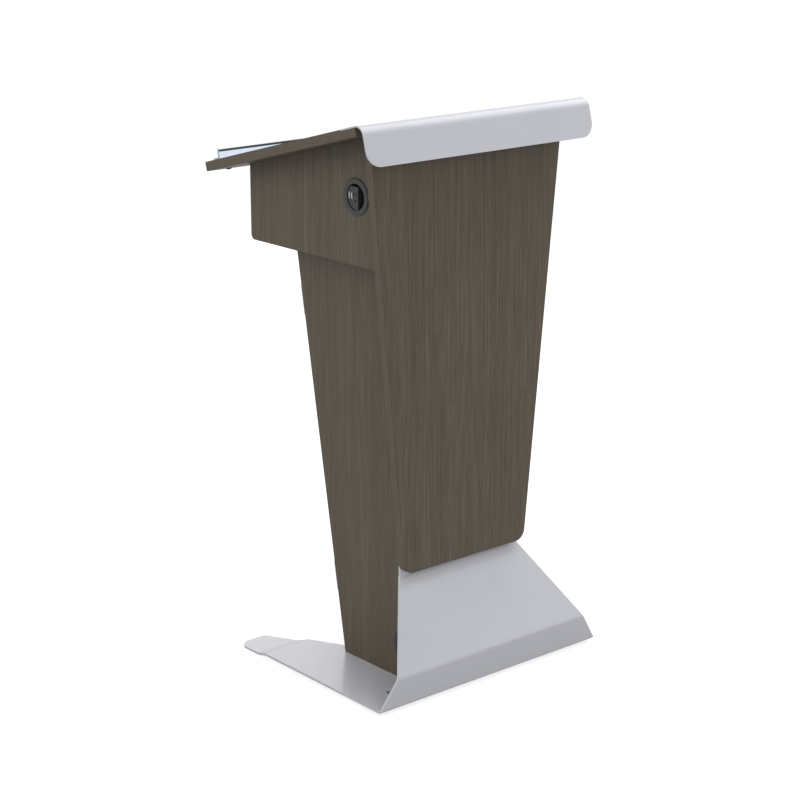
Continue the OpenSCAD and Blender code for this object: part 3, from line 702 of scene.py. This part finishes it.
@dataclass
class Hardware:
    """Screws with driver recesses in their heads, in the places of one node's plain screws."""

    node: str
    body: str
    slot: str
    finish: Finish
    drive: Drive
    head_r: float
    head_h: float
    shank_r: float
    length: float
    places: list = field(default_factory=list)
    segments: int = 48
    smooth: float = 32.0
    spin_step: float = 0.7

    def one(self) -> tuple[np.ndarray, np.ndarray]:
        """One screw standing on z = 0 with its shank below.

        The head is a shallow dome, h(r) = head_h (1 - 0.45 (r / head_r)^2), with the recess sunk
        in its middle.

        Returns:
            Vertices and faces.
        """
        hr, hh = self.head_r, self.head_h
        recess = hr * (0.42 if self.drive is Drive.HEX else 0.58)
        floor = hh * 0.35
        dome = np.linspace(recess * 1.25, hr * 0.94, 6)
        top = hh * (1.0 - 0.45 * (dome / hr) ** 2)
        lip = top[0]
        rows = [(0.0, floor), (recess * 0.96, floor), (recess, floor + hh * 0.06), (recess, lip)]
        rows += list(zip(dome, top))
        rows += [(hr, top[-1] - hh * 0.12), (hr, hh * 0.08), (hr - hh * 0.08, 0.0),
                 (self.shank_r, 0.0), (self.shank_r, -self.length + self.shank_r * 0.6),
                 (self.shank_r * 0.4, -self.length), (0.0, -self.length)]
        outline = hexagon if self.drive is Drive.HEX else cross
        return turned(np.array(rows), self.segments, outline, np.array([1, 2, 3]))

    def build(self) -> bpy.types.Object:
        """Place a copy of the screw at each place and make them one piece.

        Returns:
            The piece.
        """
        verts, quads = self.one()
        all_verts, all_quads = [], []
        for count, (point, up) in enumerate(self.places):
            axis = np.array(up, float) / np.linalg.norm(up)
            side = np.cross(axis, (0.0, 0.0, 1.0) if abs(axis[2]) < 0.9 else (1.0, 0.0, 0.0))
            side /= np.linalg.norm(side)
            turn = np.stack([side, np.cross(axis, side), axis], axis=1)
            spin = count * self.spin_step
            spun = verts.copy()
            spun[:, 0] = verts[:, 0] * math.cos(spin) - verts[:, 1] * math.sin(spin)
            spun[:, 1] = verts[:, 0] * math.sin(spin) + verts[:, 1] * math.cos(spin)
            all_verts.append(spun @ turn.T + np.array(point))
            all_quads.append(quads + count * len(verts))
        piece = new_piece(self.node + "_detail", np.concatenate(all_verts),
                          np.concatenate(all_quads), self.finish, self.body,
                          self.smooth)
        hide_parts(self.node)
        return piece


def new_piece(name: str, verts: np.ndarray, faces: np.ndarray, finish: Finish, body: str,
              smooth: float = 40.0) -> bpy.types.Object:
    """Make a mesh piece from arrays, dress it and let it ride on a body.

    Args:
        name: the piece's name.
        verts: its vertices, in the lectern's frame.
        faces: its faces, all with four corners.
        finish: its finish.
        body: the body it rides on.
        smooth: edges flatter than this many degrees are shaded smooth.

    Returns:
        The piece.
    """
    mesh = bpy.data.meshes.new(name)
    mesh.from_pydata(verts.tolist(), [], faces.tolist())
    mesh.update()
    piece = bpy.data.objects.new(name, mesh)
    bpy.context.scene.collection.objects.link(piece)
    tidy(piece, smooth)
    piece.data.materials.append(finish.build(name + "_finish"))
    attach(piece, body)
    LOG.info("%s: %d faces", name, len(piece.data.polygons))
    return piece


def tidy(piece: bpy.types.Object, smooth: float) -> None:
    """Weld doubled points, close up poles, face the surface outwards and smooth it by angle.

    Args:
        piece: the piece.
        smooth: edges flatter than this many degrees are shaded smooth.
    """
    bm = bmesh.new()
    bm.from_mesh(piece.data)
    bmesh.ops.remove_doubles(bm, verts=bm.verts, dist=1e-6)
    bmesh.ops.dissolve_degenerate(bm, edges=bm.edges, dist=1e-7)
    bmesh.ops.recalc_face_normals(bm, faces=bm.faces)
    limit = math.radians(smooth)
    for face in bm.faces:
        face.smooth = True
    for edge in bm.edges:
        edge.smooth = len(edge.link_faces) == 2 and edge.calc_face_angle(4.0) < limit
    bm.to_mesh(piece.data)
    bm.free()
    piece.data.update()


@dataclass(frozen=True)
class Tilted:
    """A plane of the lectern that leans about X: the desk's top or the column's rear face."""

    y: float
    z: float
    degrees: float

    def point(self, x: float, along: float, off: float) -> Triple:
        """A point in the lectern's frame.

        Args:
            x: its X.
            along: its Y in the plane's own axes.
            off: its Z in the plane's own axes.

        Returns:
            The point, in metres.
        """
        up = self.way(0.0, along, off)
        return (x, self.y + up[1], self.z + up[2])

    def way(self, x: float, along: float, off: float) -> Triple:
        """A direction in the lectern's frame.

        With a as the lean, y' = y cos a + z sin a and z' = -y sin a + z cos a.

        Args:
            x: its X.
            along: its Y in the plane's own axes.
            off: its Z in the plane's own axes.

        Returns:
            The direction.
        """
        c = math.cos(math.radians(self.degrees))
        s = math.sin(math.radians(self.degrees))
        return (x, along * c + off * s, -along * s + off * c)


MIDDLE = 0.281184
DESK = Tilted(0.570 - MIDDLE, 1.060, 15.0)
REAR = Tilted(0.290 - MIDDLE, 0.012, 9.9342)
HINGES = (0.170, 0.770)


def wood_screws(node: str, body: str, places: list, length: float) -> Hardware:
    """Pan-head wood screws with cross recesses, in the places of one node's plain screws."""
    return Hardware(node, body, "plated_steel", ZINC, Drive.CROSS, 0.004, 0.0024, 0.002,
                    length, places)


def small_screws(node: str, body: str, places: list) -> Hardware:
    """Low-headed hinge screws with cross recesses, in the places of one node's plain screws."""
    return Hardware(node, body, "plated_steel", ZINC, Drive.CROSS, 0.0032, 0.0012, 0.0016,
                    0.013, places)


def both(x: float, y: float, z: float, up: Triple) -> list:
    """A place and its mirror image across the middle."""
    return [((x, y, z), up), ((-x, y, z), (-up[0], up[1], up[2]))]


# ---------------------------------------------------------------- sub-assemblies


@dataclass
class Boards:
    """The laminated boards: each one's grain direction, thin direction and lean in degrees."""

    cuts: dict = field(default_factory=lambda: {
        "front_panel": (Axis.Z, Axis.Y, 0.0),
        "column_left_side": (Axis.Z, Axis.X, 0.0),
        "column_right_side": (Axis.Z, Axis.X, 0.0),
        "box_left_side": (Axis.Z, Axis.X, 0.0),
        "box_right_side": (Axis.Z, Axis.X, 0.0),
        "box_floor": (Axis.X, Axis.Z, 0.0),
        "column_floor": (Axis.X, Axis.Z, 0.0),
        "desk_top": (Axis.X, Axis.Z, DESK.degrees),
        "desk_cleats": (Axis.Y, Axis.X, DESK.degrees),
        "loose_shelf": (Axis.X, Axis.Z, 0.0),
        "kick_rail": (Axis.X, Axis.Y, REAR.degrees),
        "rear_door": (Axis.Z, Axis.Y, REAR.degrees),
    })

    def build(self) -> None:
        """Dress every board."""
        for count, (node, (grain, thin, lean)) in enumerate(self.cuts.items()):
            dress(node, Laminate(grain, thin, 1.0 + count * 2.3, lean))


@dataclass
class SteelWork:
    """The folded base and the folded cap."""

    nodes: tuple = ("steel_base", "metal_cap")

    def build(self) -> None:
        """Dress both sheets."""
        for node in self.nodes:
            dress(node, PowderCoat())


@dataclass
class Ports:
    """The power module and the cable grommet."""

    black: tuple = ("power_bezel", "power_faceplate", "power_housing", "power_inlet",
                    "power_lock_ring", "cable_grommet", "grommet_cap")

    def build(self) -> None:
        """Dress the ports."""
        for node in self.black:
            dress(node, MouldedPlastic())
        dress("usb_ports", BRIGHT)
        dress("outlet_contacts", BRASS)


@dataclass
class Fittings:
    """Hinges, lock, catch, brackets, pins, feet and the paper stop."""

    plated: tuple = ("angle_brackets", "shelf_pins", "hinge_frame_leaves", "hinge_door_leaves",
                     "hinge_pins", "lock_housing", "lock_nut", "lock_plug", "lock_cam",
                     "cam_screw", "lock_strike", "catch_plate", "cap_nuts", "base_screws")

    def build(self) -> None:
        """Dress the fittings."""
        for node in self.plated:
            dress(node, ZINC)
        dress("door_pull", PULL)
        dress("catch_magnet", MouldedPlastic())
        dress("front_feet", Rubber())
        dress("dowels", BareWood())
        dress("paper_stop", ClearAcrylic())


@dataclass
class Screws:
    """Every screw whose head can be seen.

    Lengths are in metres. A pair named foot, pull or strike is a place in the plane of the part
    that it holds, and the names that end in s are the places along one line.
    """

    panel_back: float = 0.105
    sheet: float = 0.005
    foot: tuple[float, float] = (0.232, 0.064)
    foot_top: float = 0.012
    stop_xs: Triple = (-0.257, 0.0, 0.257)
    stop_y: float = -0.0165
    desk_under: float = -0.020
    flange_x: float = 0.110
    flange_zs: tuple[float, float] = (0.27134, 0.31054)
    column_inside: float = 0.143
    box_inside: float = 0.211
    bracket_zs: tuple[float, float] = (0.400, 0.840)
    box_bracket_z: float = 1.09045
    bracket_t: float = 0.0025
    bracket_hole: float = 0.022
    cleat_up: tuple[float, float] = (0.201, -0.040)
    cleat_up_ys: tuple[float, float] = (-0.400, -0.130)
    cleat_out: tuple[float, float] = (0.191, -0.030)
    cleat_out_ys: tuple[float, float] = (-0.320, -0.210)
    hinge_x: float = -0.142
    leaf_t: float = 0.0018
    leaf_hole: float = 0.012
    leaf_zs: tuple[float, float] = (-0.020, 0.020)
    pull: Triple = (0.112, -0.020, 0.545)
    pull_zs: tuple[float, float] = (-0.048, 0.048)
    strike: Triple = (0.1408, -0.048, 0.640)
    strike_zs: tuple[float, float] = (-0.008, 0.008)

    def build(self) -> None:
        """Make the screws node by node."""
        x, y = self.foot
        Hardware("foot_screws", "root", "plated_steel", ZINC, Drive.HEX, 0.006, 0.0022, 0.0025,
                 0.0095, both(x, y - MIDDLE, self.foot_top, (0, 0, 1))).build()
        down = DESK.way(0, 0, -1)
        stop = [(DESK.point(x, self.stop_y, self.desk_under), down) for x in self.stop_xs]
        Hardware("stop_screws", "root", "black_screw", BLACK_SCREW, Drive.HEX, 0.0055, 0.003,
                 0.0025, 0.023, stop).build()
        flange_y = self.panel_back + self.sheet - MIDDLE
        flange = [at for z in self.flange_zs for at in both(self.flange_x, flange_y, z, (0, 1, 0))]
        wood_screws("flange_screws", "root", flange, 0.018).build()
        wood_screws("bracket_screws", "root", self.brackets(), 0.013).build()
        wood_screws("cleat_screws", "root", self.cleats(), 0.033).build()
        self.door()

    def brackets(self) -> list:
        """The two screws in each angle bracket, one into the side and one into the panel.

        Returns:
            Pairs of place and outward direction.
        """
        corners = [(self.column_inside, z) for z in self.bracket_zs]
        corners.append((self.box_inside, self.box_bracket_z))
        places = []
        for x, z in corners:
            places += both(x - self.bracket_t, self.panel_back + self.bracket_hole - MIDDLE, z,
                           (-1, 0, 0))
            places += both(x - self.bracket_hole, self.panel_back + self.bracket_t - MIDDLE, z,
                           (0, 1, 0))
        return places

    def cleats(self) -> list:
        """The screws up through the cleats into the desk, and out through them into the sides.

        Returns:
            Pairs of place and outward direction.
        """
        places = []
        for (x, off), ys, way in ((self.cleat_up, self.cleat_up_ys, DESK.way(0, 0, -1)),
                                  (self.cleat_out, self.cleat_out_ys, (-1, 0, 0))):
            for y in ys:
                places += both(x, *DESK.point(0, y, off)[1:], way)
        return places

    def door(self) -> None:
        """Make the screws in the hinges, the pull and the strike."""
        out, back = REAR.way(0, 1, 0), REAR.way(0, -1, 0)
        for node, body, x in (("hinge_frame_screws", "root", self.hinge_x - self.leaf_hole),
                              ("hinge_door_screws", "door", self.hinge_x + self.leaf_hole)):
            small_screws(node, body, [(REAR.point(x, self.leaf_t, hinge + z), out)
                                      for hinge in HINGES for z in self.leaf_zs]).build()
        x, y, middle = self.pull
        wood_screws("pull_screws", "door",
                    [(REAR.point(x, y, middle + z), back) for z in self.pull_zs], 0.028).build()
        x, y, middle = self.strike
        wood_screws("strike_screws", "root",
                    [(REAR.point(x, y, middle + z), (-1, 0, 0)) for z in self.strike_zs],
                    0.013).build()


# ---------------------------------------------------------------- studio


@dataclass(frozen=True)
class Lamp:
    """A square soft lamp that faces a point, with its side in metres and its power in watts."""

    name: str
    place: Triple
    target: Triple
    size: float
    power: float

    def build(self) -> None:
        """Add the lamp to the scene."""
        data = bpy.data.lights.new(self.name, "AREA")
        data.size = self.size
        data.energy = self.power
        lamp = bpy.data.objects.new(self.name, data)
        bpy.context.scene.collection.objects.link(lamp)
        lamp.location = self.place
        aim = np.array(self.target) - np.array(self.place)
        flat = math.hypot(aim[0], aim[1])
        lamp.rotation_euler = (math.atan2(flat, -aim[2]), 0.0,
                               math.atan2(aim[1], aim[0]) - math.pi / 2)


@dataclass
class Studio:
    """A plain white floor, soft lamps and the photograph's camera.

    The camera's angles are in degrees and its lens and sensor in millimetres.
    """

    lens: float = 93.226
    sensor: float = 36.0
    reach: float = 100.0
    place: Triple = (-2.7706, -3.2322, 1.7919)
    pitch: float = 16.257
    heading: float = -40.448
    floor_size: float = 30.0
    floor_grey: float = 0.46
    floor_seen: float = 0.76
    floor_mirrored: float = 0.45
    sky: Triple = (0.97, 0.98, 1.0)
    sky_strength: float = 0.56
    lamps: tuple[Lamp, ...] = (
        Lamp("overhead", (1.7, -0.4, 3.5), (0.0, 0.0, 0.6), 2.5, 51.0),
        Lamp("front", (-1.2, -4.2, 2.4), (0.0, 0.0, 0.7), 2.6, 35.0),
        Lamp("side", (-3.5, 1.2, 2.6), (-0.1, 0.0, 0.5), 2.0, 28.5),
        Lamp("back", (1.8, 4.2, 2.6), (0.0, 0.0, 0.7), 2.6, 31.0),
    )

    def build(self) -> None:
        """Make the camera, the floor, the world and the lamps."""
        self.camera()
        self.floor()
        self.world()
        for lamp in self.lamps:
            lamp.build()

    def camera(self) -> None:
        """Put the camera where the photograph was taken from."""
        data = bpy.data.cameras.new("camera")
        data.lens = self.lens
        data.sensor_width = self.sensor
        data.sensor_fit = "HORIZONTAL"
        data.clip_end = self.reach
        camera = bpy.data.objects.new("camera", data)
        bpy.context.scene.collection.objects.link(camera)
        camera.location = self.place
        camera.rotation_euler = (math.radians(90.0 - self.pitch), 0.0, math.radians(self.heading))
        bpy.context.scene.camera = camera

    def floor(self) -> None:
        """Lay a pale floor that reads white to the camera and still takes the soft shadow."""
        half = self.floor_size / 2.0
        verts = [(-half, -half, 0.0), (half, -half, 0.0), (half, half, 0.0), (-half, half, 0.0)]
        mesh = bpy.data.meshes.new("floor")
        mesh.from_pydata(verts, [], [(0, 1, 2, 3)])
        floor = bpy.data.objects.new("floor", mesh)
        bpy.context.scene.collection.objects.link(floor)
        g = Graph("floor_finish")
        g.set(Base_Color=(*(self.floor_grey,) * 3, 1.0), Roughness=0.9, Specular_IOR_Level=0.1)
        rays = g.add("ShaderNodeLightPath")
        plain = g.math("MAXIMUM", rays.outputs["Is Camera Ray"],
                       rays.outputs["Is Transmission Ray"])
        seen = g.math("MAXIMUM", g.math("MULTIPLY", plain, self.floor_seen),
                      g.math("MULTIPLY", rays.outputs["Is Glossy Ray"], self.floor_mirrored))
        g.set(Emission_Color=(1.0, 1.0, 1.0, 1.0), Emission_Strength=seen)
        floor.data.materials.append(g.material)

    def world(self) -> None:
        """Surround the scene with even soft light that the camera sees as white."""
        world = bpy.data.worlds.new("world")
        world.use_nodes = True
        tree = world.node_tree
        tree.nodes.clear()
        output = tree.nodes.new("ShaderNodeOutputWorld")
        mix = tree.nodes.new("ShaderNodeMixShader")
        for socket, colour, strength in ((mix.inputs[1], self.sky, self.sky_strength),
                                         (mix.inputs[2], (1.0, 1.0, 1.0), 1.0)):
            light = tree.nodes.new("ShaderNodeBackground")
            light.inputs["Color"].default_value = (*colour, 1.0)
            light.inputs["Strength"].default_value = strength
            tree.links.new(light.outputs[0], socket)
        rays = tree.nodes.new("ShaderNodeLightPath")
        seen = rays.outputs["Is Camera Ray"]
        for kind in ("Is Glossy Ray", "Is Transmission Ray"):
            either = tree.nodes.new("ShaderNodeMath")
            either.operation = "MAXIMUM"
            tree.links.new(seen, either.inputs[0])
            tree.links.new(rays.outputs[kind], either.inputs[1])
            seen = either.outputs[0]
        tree.links.new(seen, mix.inputs["Fac"])
        tree.links.new(mix.outputs[0], output.inputs["Surface"])
        bpy.context.scene.world = world


def main() -> None:
    """Build the scene in order."""
    bpy.context.scene.view_settings.view_transform = "Standard"
    Studio().build()
    SteelWork().build()
    Boards().build()
    Ports().build()
    Fittings().build()
    Screws().build()


if __name__ == "__main__":
    main()
